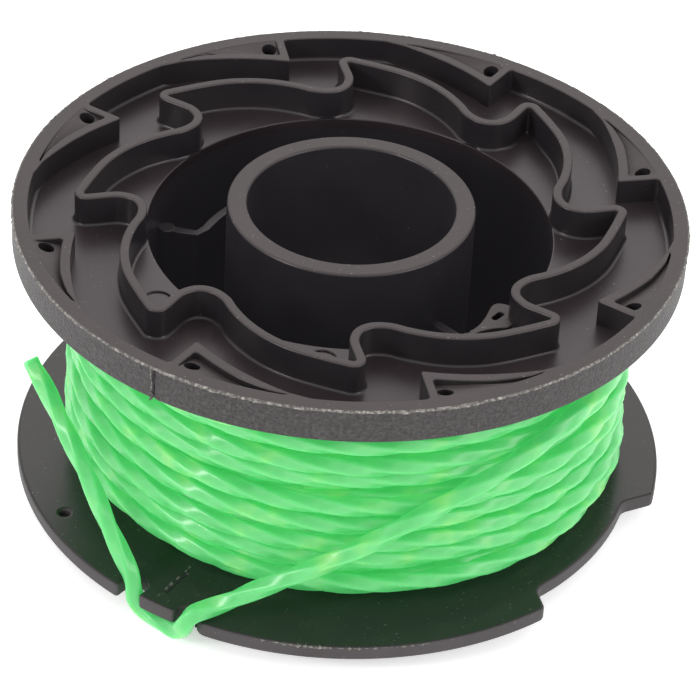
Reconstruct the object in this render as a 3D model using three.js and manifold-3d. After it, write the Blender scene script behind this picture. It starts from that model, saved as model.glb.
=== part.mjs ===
// Line spool of a string trimmer with an automatic line feed.
// One black plastic moulding carries a single length of twisted nylon line: a wide lower flange with two
// line-holding slots, a drum around a deep annular well, a hub tube with a plain bore, and an upper flange
// made as a shallow tray. The tray holds a rim, eight ratchet teeth and an eight-lobed cam wall.
// The moulding's regions are separate meshes here, so that each one can be read, changed and reused alone.
// Millimetres, +Z up along the spool's axis, origin on the axis in the plane that the hub collar stands on.

import * as THREE from 'three';
import { mergeVertices } from 'three/addons/utils/BufferGeometryUtils.js';
import Module from 'manifold-3d';

const wasm = await Module();
wasm.setup();

// Driving dimensions: radii
const BORE_RADIUS = 10.8;
const HUB_RADIUS = 12.9;
const COLLAR_RADIUS = 15.0;
const WELL_RADIUS = 21.1;
const DRUM_RADIUS = 22.6;
const LOWER_FLANGE_RADIUS = 34.7;
const RIM_RADIUS = 35.0;
const RIM_INNER_RADIUS = 33.35;

// Driving dimensions: heights above the standing plane
const COLLAR_HEIGHT = 2.4;
const LOWER_FLANGE_THICKNESS = 1.7;
const UPPER_FLANGE_BOTTOM = 30.4;
const UPPER_FLANGE_THICKNESS = 1.0;
const RIM_TOP = 34.2;
const HUB_TOP = 34.5;
const CAM_TOP = 34.8;
const RIB_TOP = 26.4;

const LOWER_FLANGE_TOP = COLLAR_HEIGHT + LOWER_FLANGE_THICKNESS;
const TRAY_FLOOR = UPPER_FLANGE_BOTTOM + UPPER_FLANGE_THICKNESS;
const GAP = 0.3;

// Line-holding slots and the finger cut-out of the lower flange, as directions around the axis in degrees.
// Each slot's mouth is rounded off on its anticlockwise side.
const SLOTS = [
  { direction: 233.7, width: 2.8, mouthRadius: 0.3 },
  { direction: 245.1, width: 2.2, mouthRadius: 1.2 },
];
const SLOT_END_RADIUS = 32.0;
const CUTOUT_RADIUS = 31.9;
const CUTOUT_INNER_ANGLES = [312.2, 344.5];
const CUTOUT_OUTER_ANGLES = [308.8, 351.6];

// Ratchet teeth and cam lobes
const LOBES = 8;
const LOBE_PITCH = 360 / LOBES;
const TOOTH_ANGLE = 15.4;
const TOOTH_TIP_RADIUS = 28.85;
const TOOTH_RAMP = 22;
const TOOTH_WALL = 1.2;
const POCKET_DEPTH = 0.8;
const PIN_HOLE_RADIUS = 0.75;
const PIN_HOLE_DEPTH = 1.4;
const CAM_WALL = 1.0;
const LOBE_JOINT_GAP = 0.3;

// One cam lobe's centre line from valley to valley: [degrees, radius]
const CAM_LINE = [
  [8.5, 21.65], [12.5, 21.95], [16.5, 22.95], [22, 24.25], [28, 25.45], [34, 26.4], [40, 27.1],
  [45.5, 27.85], [47.6, 28.1], [48.9, 27.6], [48.7, 26.6], [47.9, 25.0], [47.7, 23.9], [48.6, 22.7],
  [50.6, 21.95], [53.5, 21.65],
];

// A tongue of the upper flange that reaches into the well, with an eyelet for the line's inner end
const TONGUE = [[22.0, 306.5], [19.1, 319.4], [19.2, 322.4], [20.5, 324.8], [22.0, 326]];
const EYELET_CENTRE = [20.5, 319.4];
const EYELET_RADIUS = 0.6;

// Ribs that join the hub tube and the drum inside the well
const RIB_THICKNESS = 1.0;
const STRAIGHT_RIB_ANGLE = 316.8;
const ANCHOR_ANGLE = 164;
const ANCHOR_ARC_END = 140;
const ANCHOR_ARC_RADIUS = 16.4;
const ANCHOR_POST_RADIUS = 0.9;

// Trimmer line
const LINE_DIAMETER = 1.65;
const LINE_SIDES = 8;
const LINE_STEPS = 64;

// Outline of the wound line, from its lower inner edge around: [radius, height]
const WINDING_OUTLINE = [
  [22.9, 4.4], [27.4, 4.4], [29.4, 8.0], [30.0, 12.0], [30.0, 25.0], [28.6, 30.1], [22.9, 30.1],
];

// The line from where it leaves the winding, through the slots and up to its free end: [x, y, z]
const LINE_ROUTE = [
  [24.5, -19.3, 24.6], [21.6, -22.5, 23.5], [16.4, -26.6, 21.4], [11.6, -29.0, 19.3], [6.8, -30.5, 16.7],
  [2.0, -31.3, 13.7], [-2.9, -31.5, 10.8], [-7.3, -31.3, 8.1], [-9.9, -31.2, 6.4], [-11.5, -31.2, 5.5],
  [-12.5, -31.5, 5.2], [-13.3, -31.8, 5.0], [-13.9, -32.0, 4.5], [-14.3, -31.9, 3.6], [-14.6, -31.4, 2.5],
  [-15.1, -30.7, 1.6], [-16.3, -29.5, 1.2], [-17.8, -28.2, 1.2], [-19.1, -27.3, 1.7], [-19.8, -27.0, 2.8],
  [-20.0, -26.8, 4.1], [-20.3, -26.4, 5.2], [-21.1, -25.7, 6.6], [-22.9, -24.0, 9.6], [-25.2, -21.2, 13.3],
  [-28.0, -17.5, 16.7], [-30.2, -14.2, 18.9], [-32.0, -11.7, 20.4],
];

const spoolPlastic = { color: 0x2e2b2c, roughness: 0.5, metalness: 0 };
const lineNylon = { color: 0x4fdc6c, roughness: 0.35, metalness: 0 };

function polar(radius, degrees) {
  const angle = THREE.MathUtils.degToRad(degrees);
  return new THREE.Vector2(radius * Math.cos(angle), radius * Math.sin(angle));
}

// A ring around the axis with a rectangular section
function ring(inner, outer, bottom, top, segments = 96) {
  const section = [[inner, bottom], [outer, bottom], [outer, top], [inner, top], [inner, bottom]];
  const points = section.map(([radius, height]) => new THREE.Vector2(radius, height));
  // LatheGeometry turns around Y, so the ring is stood up onto Z
  return new THREE.LatheGeometry(points, segments).rotateX(Math.PI / 2);
}

// A prism over a plan outline, from one height to another
function prism(outline, bottom, top) {
  const settings = { depth: top - bottom, bevelEnabled: false, curveSegments: 12 };
  return new THREE.ExtrudeGeometry(outline, settings).translate(0, 0, bottom);
}

function solid(geometry) {
  const bare = geometry.clone();
  bare.deleteAttribute('normal');
  bare.deleteAttribute('uv');
  const merged = mergeVertices(bare, 1e-4);
  const vertProperties = new Float32Array(merged.attributes.position.array);
  const triVerts = new Uint32Array(merged.index.array);
  return new wasm.Manifold(new wasm.Mesh({ numProp: 3, vertProperties, triVerts }));
}

function geometryOf(manifold) {
  const { vertProperties, triVerts } = manifold.getMesh();
  const geometry = new THREE.BufferGeometry();
  geometry.setAttribute('position', new THREE.BufferAttribute(vertProperties, 3));
  geometry.setIndex(new THREE.BufferAttribute(triVerts, 1));
  geometry.computeVertexNormals();
  return geometry;
}

function mesh(name, geometry, finish) {
  const made = new THREE.Mesh(geometry, new THREE.MeshStandardMaterial(finish));
  made.name = name;
  return made;
}

// A round-ended slot that runs out through the flange's edge, lying along +X
function slotOutline({ width, mouthRadius }) {
  const half = width / 2;
  const outline = new THREE.Shape();
  outline.moveTo(LOWER_FLANGE_RADIUS + 2, half + mouthRadius);
  outline.absarc(LOWER_FLANGE_RADIUS - mouthRadius, half + mouthRadius, mouthRadius, 0, -Math.PI / 2, true);
  outline.lineTo(SLOT_END_RADIUS + half, half);
  outline.absarc(SLOT_END_RADIUS + half, 0, half, Math.PI / 2, -Math.PI / 2, false);
  outline.lineTo(LOWER_FLANGE_RADIUS + 2, -half);
  return outline;
}

// The cut-out's plan: a shallow arc with sides that lean towards its middle
function cutoutOutline() {
  const [start, end] = CUTOUT_INNER_ANGLES;
  const reach = LOWER_FLANGE_RADIUS + 2;
  const outline = new THREE.Shape();
  outline.moveTo(...polar(reach, CUTOUT_OUTER_ANGLES[0]));
  outline.lineTo(...polar(CUTOUT_RADIUS, start));
  outline.absarc(0, 0, CUTOUT_RADIUS, THREE.MathUtils.degToRad(start), THREE.MathUtils.degToRad(end), false);
  outline.lineTo(...polar(reach, CUTOUT_OUTER_ANGLES[1]));
  outline.lineTo(...polar(reach + 6, (start + end) / 2));
  return outline;
}

function lowerFlange() {
  let flange = solid(ring(BORE_RADIUS, LOWER_FLANGE_RADIUS, COLLAR_HEIGHT, LOWER_FLANGE_TOP));
  const below = COLLAR_HEIGHT - 1;
  const above = LOWER_FLANGE_TOP + 1;
  for (const slot of SLOTS) {
    const turn = THREE.MathUtils.degToRad(slot.direction);
    flange = flange.subtract(solid(prism(slotOutline(slot), below, above).rotateZ(turn)));
  }
  flange = flange.subtract(solid(prism(cutoutOutline(), below, above)));
  return geometryOf(flange);
}

function upperFlange() {
  const plate = solid(ring(WELL_RADIUS, RIM_RADIUS, UPPER_FLANGE_BOTTOM, TRAY_FLOOR));
  const outline = new THREE.Shape(TONGUE.map(([radius, degrees]) => polar(radius, degrees)));
  const tongue = solid(prism(outline, UPPER_FLANGE_BOTTOM, TRAY_FLOOR));
  const eyelet = new THREE.CylinderGeometry(EYELET_RADIUS, EYELET_RADIUS, 4, 12).rotateX(Math.PI / 2);
  const place = polar(...EYELET_CENTRE);
  eyelet.translate(place.x, place.y, TRAY_FLOOR);
  return geometryOf(plate.add(tongue).subtract(solid(eyelet)));
}

// Radius of a tooth's inner face at an angle past its tip
function rampRadius(degrees) {
  const rise = RIM_INNER_RADIUS - GAP - TOOTH_TIP_RADIUS;
  return TOOTH_TIP_RADIUS + (rise * degrees) / TOOTH_RAMP;
}

// A tooth's plan, or with a wall thickness, the plan of the pocket that the wall surrounds
function toothOutline(wall) {
  const root = RIM_INNER_RADIUS - GAP;
  const outer = root - wall / 4;
  const first = THREE.MathUtils.radToDeg(wall / TOOTH_TIP_RADIUS);
  const last = (TOOTH_RAMP * (outer - 0.1 - wall - TOOTH_TIP_RADIUS)) / (root - TOOTH_TIP_RADIUS);
  const steps = 8;
  const inner = [];
  const back = [];
  for (let step = 0; step <= steps; step += 1) {
    const degrees = first + ((last - first) * step) / steps;
    inner.push(polar(rampRadius(degrees) + wall, degrees));
    back.unshift(polar(outer, degrees));
  }
  return new THREE.Shape([...inner, ...back]);
}

function ratchetTooth() {
  const pocketFloor = RIM_TOP - POCKET_DEPTH;
  const block = solid(prism(toothOutline(0), TRAY_FLOOR, RIM_TOP));
  const pocket = solid(prism(toothOutline(TOOTH_WALL), pocketFloor, RIM_TOP + 1));
  const drill = new THREE.CylinderGeometry(PIN_HOLE_RADIUS, PIN_HOLE_RADIUS, 2 * PIN_HOLE_DEPTH, 12);
  const place = polar(RIM_INNER_RADIUS - 1.5, 3.6);
  drill.rotateX(Math.PI / 2).translate(place.x, place.y, pocketFloor);
  return geometryOf(block.subtract(pocket).subtract(solid(drill)));
}

// A wall of even thickness whose top view follows a centre line
function wallOutline(centreLine, thickness, divisions) {
  const left = [];
  const right = [];
  for (let step = 0; step <= divisions; step += 1) {
    const along = step / divisions;
    const point = centreLine.getPoint(along);
    const tangent = centreLine.getTangent(along);
    const side = new THREE.Vector2(-tangent.y, tangent.x).multiplyScalar(thickness / 2);
    left.push(point.clone().add(side));
    right.unshift(point.clone().sub(side));
  }
  return new THREE.Shape([...left, ...right]);
}

function camLobe() {
  const trim = THREE.MathUtils.radToDeg(LOBE_JOINT_GAP / 2 / CAM_LINE[0][1]);
  const places = CAM_LINE.map(([degrees, radius]) => polar(radius, degrees));
  places[0] = polar(CAM_LINE[0][1], CAM_LINE[0][0] + trim);
  places[places.length - 1] = polar(CAM_LINE.at(-1)[1], CAM_LINE.at(-1)[0] - trim);
  return prism(wallOutline(new THREE.SplineCurve(places), CAM_WALL, 44), TRAY_FLOOR, CAM_TOP);
}

function straightRib() {
  const line = new THREE.LineCurve(
    polar(HUB_RADIUS + GAP, STRAIGHT_RIB_ANGLE),
    polar(WELL_RADIUS - GAP, STRAIGHT_RIB_ANGLE),
  );
  return prism(wallOutline(line, RIB_THICKNESS, 1), LOWER_FLANGE_TOP, RIB_TOP);
}

// A rib that leaves the drum towards the hub, then bends to follow the hub, with a round post at the drum
function lineAnchor() {
  const places = [polar(WELL_RADIUS - GAP - ANCHOR_POST_RADIUS, ANCHOR_ANGLE)];
  places.push(polar(18.6, ANCHOR_ANGLE), polar(ANCHOR_ARC_RADIUS + 0.5, ANCHOR_ANGLE - 0.8));
  for (let degrees = ANCHOR_ANGLE - 5; degrees >= ANCHOR_ARC_END; degrees -= 5) {
    places.push(polar(ANCHOR_ARC_RADIUS, degrees));
  }
  const outline = wallOutline(new THREE.SplineCurve(places), RIB_THICKNESS, 24);
  const wall = solid(prism(outline, LOWER_FLANGE_TOP, RIB_TOP));
  const height = RIB_TOP - LOWER_FLANGE_TOP;
  const post = new THREE.CylinderGeometry(ANCHOR_POST_RADIUS, ANCHOR_POST_RADIUS, height, 16);
  post.rotateX(Math.PI / 2).translate(places[0].x, places[0].y, (RIB_TOP + LOWER_FLANGE_TOP) / 2);
  return geometryOf(wall.add(solid(post)));
}

function lineWinding() {
  const closed = [...WINDING_OUTLINE, WINDING_OUTLINE[0]];
  const points = closed.map(([radius, height]) => new THREE.Vector2(radius, height));
  return new THREE.LatheGeometry(points, 64).rotateX(Math.PI / 2);
}

function lineTail() {
  const places = LINE_ROUTE.map((place) => new THREE.Vector3(...place));
  const route = new THREE.CatmullRomCurve3(places, false, 'centripetal');
  const section = new THREE.Shape();
  for (let side = 0; side < LINE_SIDES; side += 1) {
    const corner = polar(LINE_DIAMETER / 2, (side * 360) / LINE_SIDES);
    if (side === 0) section.moveTo(corner.x, corner.y);
    else section.lineTo(corner.x, corner.y);
  }
  return new THREE.ExtrudeGeometry(section, { steps: LINE_STEPS, extrudePath: route, bevelEnabled: false });
}

const spool = new THREE.Group();
spool.add(mesh('hub_collar', ring(BORE_RADIUS, COLLAR_RADIUS, 0, COLLAR_HEIGHT, 64), spoolPlastic));
spool.add(mesh('lower_flange', lowerFlange(), spoolPlastic));
spool.add(mesh('hub_tube', ring(BORE_RADIUS, HUB_RADIUS, LOWER_FLANGE_TOP, HUB_TOP, 64), spoolPlastic));
spool.add(mesh(
  'drum',
  ring(WELL_RADIUS, DRUM_RADIUS, LOWER_FLANGE_TOP, UPPER_FLANGE_BOTTOM, 64),
  spoolPlastic,
));
spool.add(mesh('well_rib', straightRib(), spoolPlastic));
spool.add(mesh('line_anchor', lineAnchor(), spoolPlastic));
spool.add(mesh('upper_flange', upperFlange(), spoolPlastic));
spool.add(mesh('rim', ring(RIM_INNER_RADIUS, RIM_RADIUS, TRAY_FLOOR, RIM_TOP), spoolPlastic));

const tooth = ratchetTooth();
const lobe = camLobe();
for (let number = 1; number <= LOBES; number += 1) {
  const turn = (number - 1) * LOBE_PITCH;
  const ratchet = mesh(`ratchet_tooth_${number}`, tooth, spoolPlastic);
  ratchet.rotation.z = THREE.MathUtils.degToRad(TOOTH_ANGLE + turn);
  const cam = mesh(`cam_lobe_${number}`, lobe, spoolPlastic);
  cam.rotation.z = THREE.MathUtils.degToRad(turn);
  spool.add(ratchet, cam);
}

spool.add(mesh('line_winding', lineWinding(), lineNylon));
spool.add(mesh('line_tail', lineTail(), lineNylon));

export default spool;
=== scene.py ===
"""Line spool of a string trimmer: one black plastic moulding, wound with one length of green twisted line.

Everything is in metres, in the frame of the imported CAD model: +Z up along the spool's axis, origin on the
axis in the plane that the spool stands on. Plan angles are in degrees, anticlockwise from +X seen from above.
"""
import math

import bmesh
import bpy
import numpy as np
from mathutils import Matrix, Vector
from mathutils.geometry import tessellate_polygon


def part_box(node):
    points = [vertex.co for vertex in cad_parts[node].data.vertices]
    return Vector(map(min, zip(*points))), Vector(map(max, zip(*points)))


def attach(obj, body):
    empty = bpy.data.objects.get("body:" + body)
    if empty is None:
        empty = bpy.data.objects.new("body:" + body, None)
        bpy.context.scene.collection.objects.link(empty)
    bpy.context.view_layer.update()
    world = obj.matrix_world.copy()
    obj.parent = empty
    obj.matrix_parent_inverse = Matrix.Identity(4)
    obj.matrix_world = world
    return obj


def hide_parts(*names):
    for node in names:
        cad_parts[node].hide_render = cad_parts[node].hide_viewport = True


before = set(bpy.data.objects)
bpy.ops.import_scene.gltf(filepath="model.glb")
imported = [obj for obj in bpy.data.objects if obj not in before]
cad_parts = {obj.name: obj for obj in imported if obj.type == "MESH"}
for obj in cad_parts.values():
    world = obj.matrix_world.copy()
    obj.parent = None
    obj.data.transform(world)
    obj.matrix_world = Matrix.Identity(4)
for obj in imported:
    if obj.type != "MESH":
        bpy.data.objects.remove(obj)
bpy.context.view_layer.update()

MM = 0.001

# A step small enough to be out of sight, which keeps two faces from lying in one plane
HAIR = 0.01 * MM
# How far ribs and pocket floors, and the hub and drum, reach into the plate that they meet
ROOT = 0.3 * MM
SEAT = 0.5 * MM


def far_edge(node):
    """The radius of a round CAD node that is centred on the axis."""
    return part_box(node)[1].x


def underside(node):
    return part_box(node)[0].z


def top_of(node):
    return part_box(node)[1].z


# Radii
HUB_WALL = 2.1 * MM
DRUM_WALL = 1.5 * MM
RIM_WALL = 1.65 * MM
HUB_RADIUS = far_edge("hub_tube")
BORE_RADIUS = HUB_RADIUS - HUB_WALL
COLLAR_RADIUS = far_edge("hub_collar")
DRUM_RADIUS = far_edge("drum")
WELL_RADIUS = DRUM_RADIUS - DRUM_WALL
LOWER_FLANGE_RADIUS = far_edge("lower_flange")
RIM_RADIUS = far_edge("rim")
RIM_INNER_RADIUS = RIM_RADIUS - RIM_WALL
HUB_EDGE = 0.3 * MM
COLLAR_EDGE = 0.35 * MM

# Heights
FLANGE_BOTTOM = underside("lower_flange")
FLANGE_TOP = top_of("lower_flange")
TRAY_UNDERSIDE = underside("upper_flange")
TRAY_FLOOR = top_of("upper_flange")
RIM_TOP = top_of("rim")
HUB_TOP = top_of("hub_tube")
CAM_TOP = top_of("cam_lobe_1")
RIB_TOP = top_of("well_rib")

# Camera: it looks down at the spool's front, leaning a little to one side
CAMERA_ELEVATION = math.radians(36.275)
CAMERA_ROLL = math.radians(3.42)
CAMERA_DISTANCE = 366.6 * MM
CAMERA_TARGET = Vector((0, 0, 16.4 * MM))
CAMERA_RIGHT = 0.705 * MM
CAMERA_LIFT = -0.562 * MM
CAMERA_LENS = 177

# The point that the lights face
LIGHT_TARGET = Vector((0, 0, 15 * MM))

# The line: a square section that turns once every twist pitch
LINE_WIDTH = 1.65 * MM
LINE_CORNER = 0.38 * MM
LINE_TWIST_PITCH = 25 * MM

# The winding: points a turn, the first turn's direction, and how close one turn lies to the next
LINE_STEPS = 120
LINE_START_ANGLE = 164
LINE_LAY = 1.42 * MM
LINE_HIDDEN_TURNS = 22
LINE_CLEARANCE = 1.0 * MM
LINE_SEED = 7

# The turns wander up and down: (size, wavelength in turns)
LINE_WANDERS = [(0.42 * MM, 2.1), (0.14 * MM, 0.45)]
WANDER_HARMONICS = (1.0, 0.61, 0.37, 0.23)

# Steps over which a turn climbs onto another, over which the last one leans out to the loose line, and
# how many steps back the loose line takes its direction from
LINE_REACH = 16
LINE_MEET = 14
LINE_LEAD = 5

# Each pass of the winding: the height where it ends, and how far a turn moves along the axis
LINE_START_HEIGHT = 5.2 * MM
LINE_PASSES = [
    (29.3 * MM, 2.11 * MM),
    (5.2 * MM, 2.11 * MM),
    (29.3 * MM, 2.11 * MM),
    (5.0 * MM, 2.11 * MM),
    (8.2 * MM, 3.2 * MM),
    (27.8 * MM, 2.5 * MM),
    (24.6 * MM, 3.4 * MM),
]

# How far the outermost turns lie to one side, where the winding has gone slack
LINE_SLACK = np.array((0.5, -0.1, 0)) * MM

# The line from where it leaves the winding, through the slots and up to its free end
LINE_ROUTE = [
    (0.0245, -0.0193, 0.0246), (0.0216, -0.0225, 0.0235), (0.0164, -0.0266, 0.0214),
    (0.0116, -0.0290, 0.0193), (0.0068, -0.0305, 0.0167), (0.0020, -0.0313, 0.0137),
    (-0.0029, -0.0315, 0.0108), (-0.0073, -0.0313, 0.0081), (-0.0099, -0.0312, 0.0064),
    (-0.0115, -0.0312, 0.0055), (-0.0125, -0.0315, 0.0052), (-0.0133, -0.0318, 0.0050),
    (-0.0139, -0.0320, 0.0045), (-0.0143, -0.0319, 0.0036), (-0.0146, -0.0314, 0.0025),
    (-0.0151, -0.0307, 0.0016), (-0.0163, -0.0295, 0.0012), (-0.0178, -0.0282, 0.0012),
    (-0.0191, -0.0273, 0.0017), (-0.0198, -0.0270, 0.0028), (-0.0200, -0.0268, 0.0041),
    (-0.0203, -0.0264, 0.0052), (-0.0211, -0.0257, 0.0066), (-0.0229, -0.0240, 0.0096),
    (-0.0252, -0.0212, 0.0133), (-0.0280, -0.0175, 0.0167), (-0.0302, -0.0142, 0.0189),
    (-0.0320, -0.0117, 0.0204),
]

# Lower flange: two slots that hold the line, the tab between them and a finger cut-out.
# Each slot: (direction, width, radius of its end, corner radius of the mouth's anticlockwise side)
SLOTS = [(233.55, 2.6 * MM, 32.1 * MM, 0.35 * MM), (245.1, 2.2 * MM, 32.9 * MM, 1.3 * MM)]
SLOT_CORNER = 0.35 * MM
TAB_SETBACK = 0.3 * MM
CUTOUT_RADIUS = 31.9 * MM
CUTOUT_INNER_ANGLES = (312.2, 344.5)
CUTOUT_OUTER_ANGLES = (310.0, 348.6)
CUTOUT_INNER_CORNER = 1.5 * MM
CUTOUT_OUTER_CORNER = 0.9 * MM
FLANGE_EDGE = 0.3 * MM

# Degrees that the flange's round corners need beside its arcs
MOUTH_ROOM = 4
ROUND_MOUTH_ROOM = 5.5
CUTOUT_OUTER_ROOM = 2.5
CUTOUT_INNER_ROOM = 5

# Two corners this share of a slot's half width make its end round
ROUND_END = 0.98

# Ratchet teeth and cam wall
LOBES = 8
LOBE_PITCH = 360 / LOBES
TOOTH_ANGLE = 15.4
TOOTH_TIP_RADIUS = 28.85 * MM
TOOTH_RAMP = 23.5
TOOTH_WALL = 1.15 * MM
TOOTH_WALL_TAPER = 0.062 * MM
TOOTH_STEP_LEAN = 0.3
TOOTH_TIP_CORNER = 0.3 * MM
TOOTH_ROOT_CORNER = 0.4 * MM
POCKET_ANGLES = (1.6, 21.0)
POCKET_TAPER_START = 12
POCKET_OUTER_RADIUS = RIM_INNER_RADIUS - 0.05 * MM
POCKET_FLOOR_REACH = 0.25 * MM
POCKET_FLOOR_RISE = 0.012 * MM
POCKET_FLOOR_EDGE = 0.06 * MM
POCKET_DEPTH = 0.85 * MM
PIN_HOLE_RADIUS = 0.8 * MM
PIN_HOLE_PLACE = 32.2 * MM
PIN_HOLE_ANGLE = 3.0
RIM_BOTTOM_EDGE = 0.25 * MM
RIM_TOP_EDGE = 0.15 * MM
RIM_FILLET = 0.45 * MM
CAM_WALL = 1.0 * MM
CAM_FILLET = 0.35 * MM
CAM_EDGE = 0.22 * MM
CAM_ROOT = 0.2 * MM

# One cam lobe's centre line from valley to valley: (degrees, millimetres)
CAM_LINE = [
    (8.5, 21.65), (12.5, 21.95), (16.5, 22.95), (22, 24.25), (28, 25.45), (34, 26.4), (40, 27.1),
    (45.5, 27.85), (47.6, 28.1), (48.9, 27.6), (48.7, 26.6), (47.9, 25.0), (47.7, 23.9), (48.6, 22.7),
    (50.6, 21.95),
]

# A tongue beside the cam wall that reaches over the well: ((radius in millimetres, degrees), corner radius)
TONGUE = [
    ((22.3, 303.0), 0.4), ((21.5, 304.2), 2.0), ((21.35, 306.8), 5.0), ((21.05, 310.0), 5.0),
    ((20.4, 313.8), 5.0), ((19.5, 318.9), 0.5), ((19.45, 321.6), 0.9), ((20.9, 323.4), 1.0),
    ((23.0, 318.5), 0.5), ((23.2, 315.2), 0.8), ((22.35, 312.3), 5.0), ((21.95, 308.1), 3.0),
]
TONGUE_RISE = 0.3 * MM
TONGUE_EDGE = 0.1 * MM
EYELET_PLACE = (21.1 * MM, 316.8)
EYELET_LENGTH = 1.6 * MM
EYELET_WIDTH = 0.65 * MM
EYELET_TURN = 53

# Round marks that the mould's ejector pins left on the tray floor
EJECTOR_MARKS = [(23.9 * MM, 217.8), (23.1 * MM, 265.2), (23.1 * MM, 310.9)]
EJECTOR_RADIUS = 1.4 * MM
EJECTOR_DEPTH = 0.18 * MM

# The tray floor's disc, and how far the floors of its marks and of the flange's recesses reach past them
TRAY_INSET = 0.3 * MM
TRAY_EDGE = 0.15 * MM
EJECTOR_FLOOR_REACH = 0.3 * MM
RECESS_FLOOR_REACH = 0.4 * MM

# The mould's parting line crosses the rim's side and the lower flange
PARTING_ANGLE = 239.0
PARTING_GROOVE = 0.24 * MM
PARTING_GROOVE_HALF_ANGLE = 0.3
PARTING_RADII = (27.0 * MM, LOWER_FLANGE_RADIUS - 0.6 * MM)
SPECKS_ANGLE = PARTING_ANGLE - 0.4
PARTING_SPECK = 0.5 * MM
PARTING_SPECK_SUNK = 0.22 * MM
PARTING_SEED = 5
NICK_PLACE = (30.4 * MM, PARTING_ANGLE + 0.2)
NICK_LENGTH = 3.6 * MM
NICK_WIDTH = 0.12 * MM
NICK_DEPTH = 0.24 * MM
BURR_ANGLE = PARTING_ANGLE - 0.7
BURR_SWAY = 0.35
BURR_HEIGHT = 0.06 * MM
BURR_RAGGEDNESS = 0.10 * MM
BURR_FOOT_GROWTH = 0.16 * MM
BURR_HEAD_GROWTH = 0.14 * MM

# Pale nicks along the front of the lower flange's top edge
WORN_ANGLES = (251, 292)
WEAR_SIZE = 0.8 * MM
WEAR_SUNK = 0.06 * MM
WEAR_SEED = 23

# The ragged flash round the rim's top edge: how far it hangs, stands out and stands up at most
FLASH_STEPS = 2200
FLASH_SEED = 11
FLASH_SAG = 0.16 * MM
FLASH_DROP = 0.25 * MM
FLASH_OUT = 0.15 * MM
FLASH_RISE = 0.13 * MM
FLASH_TUFT = 1.6 * MM
FLASH_TUFT_LIMIT = 0.72

# A blind dimple in the lower flange
DIMPLE_RADIUS = 0.6 * MM
DIMPLE_DEPTH = 0.7 * MM
DIMPLE_PLACE = (32.3 * MM, 209.4)

# Ribs in the well
RIB_THICKNESS = 1.0 * MM
RIB_EDGE = 0.12 * MM
STRAIGHT_RIB_ANGLE = 316.8
ANCHOR_ANGLE = 164
ANCHOR_ARC_END = 140
ANCHOR_ARC_RADIUS = 16.4 * MM
ANCHOR_POST_RADIUS = 0.9 * MM

# The corners of a square, anticlockwise
SQUARE = [(1, 1), (-1, 1), (-1, -1), (1, -1)]

# A ridge is this wide to each side of its line, and this deep under it, where its height is nothing
RIDGE_ROOT = 0.05 * MM

# Meshes: the angle that stays a sharp edge, and how squarely a flat and an upward face look up
SHARP_ANGLE = math.radians(38)
FLAT = 0.9999
UPWARD = 0.7

# ---- plan geometry

def polar(radius, degrees):
    angle = math.radians(degrees)
    return np.array((radius * math.cos(angle), radius * math.sin(angle)))


def arc(radius, start, end, step=1.5):
    """Points along an arc round the axis."""
    count = max(2, math.ceil(abs(end - start) / step) + 1)
    return [polar(radius, degrees) for degrees in np.linspace(start, end, count)]


def unit(vectors):
    """Each row scaled to a length of 1."""
    return vectors / np.linalg.norm(vectors, axis=1)[:, None]


def left_of(ahead):
    """Unit vectors to the left of plan directions."""
    ahead = unit(ahead)
    return np.stack([-ahead[:, 1], ahead[:, 0]], axis=1)


def rounded(corners, steps=6):
    """A closed outline, with each corner (point, radius) turned into an arc."""
    outline = []
    for number, (point, radius) in enumerate(corners):
        here = Vector(point)
        before = (Vector(corners[number - 1][0]) - here).normalized()
        after = (Vector(corners[(number + 1) % len(corners)][0]) - here).normalized()
        if radius == 0:
            outline.append(here)
            continue
        half = before.angle(after) / 2
        centre = here + (before + after).normalized() * (radius / math.sin(half))
        first = here + before * (radius / math.tan(half)) - centre
        turn = first.angle_signed(here + after * (radius / math.tan(half)) - centre)
        angles = [-turn * step / steps for step in range(steps + 1)]
        outline += [centre + Matrix.Rotation(angle, 2) @ first for angle in angles]
    return np.array([tuple(point) for point in outline])


def rounded_bar(length, width):
    """A bar's outline with round ends, centred on the origin and lying along X."""
    return rounded([((x * length / 2, y * width / 2), width / 2 * ROUND_END) for x, y in SQUARE])


def corner_at(radius, degrees, rounding=0.0):
    """A corner for rounded(), at a radius and a direction from the axis."""
    return tuple(polar(radius, degrees)), rounding


def plain(points):
    """Points that rounded() leaves as they are."""
    return [(tuple(point), 0) for point in points]


def shifted(outline, distance):
    """A closed outline moved to its own left by a distance."""
    left = left_of(np.roll(outline, -1, axis=0) - outline)
    mitre = unit(left + np.roll(left, 1, axis=0))
    stretch = 1 / np.maximum((mitre * left).sum(axis=1), 0.5)
    return outline + mitre * (stretch * distance)[:, None]


def anticlockwise(outline):
    x, y = outline[:, 0], outline[:, 1]
    return (x * np.roll(y, -1) - y * np.roll(x, -1)).sum() > 0


def facing(outline, is_hole):
    """The outline run so that its material lies on its left."""
    return outline[::-1] if anticlockwise(outline) == is_hole else outline


def smooth_closed(points, steps):
    """A closed Catmull-Rom curve through points."""
    points = np.array(points)
    before, after, last = np.roll(points, 1, axis=0), np.roll(points, -1, axis=0), np.roll(points, -2, axis=0)
    rows = [catmull_rom(before, points, after, last, t) for t in np.arange(steps) / steps]
    return np.stack(rows, axis=1).reshape(-1, points.shape[1])


def catmull_rom(a, b, c, d, t):
    return 0.5 * (2 * b + (c - a) * t + (2 * a - 5 * b + 4 * c - d) * t**2 + (3 * b - a - 3 * c + d) * t**3)


# ---- meshes

def add_object(name, data):
    """A mesh, a light or a camera, put into the scene."""
    added = bpy.data.objects.new(name, data)
    bpy.context.scene.collection.objects.link(added)
    return added


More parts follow.
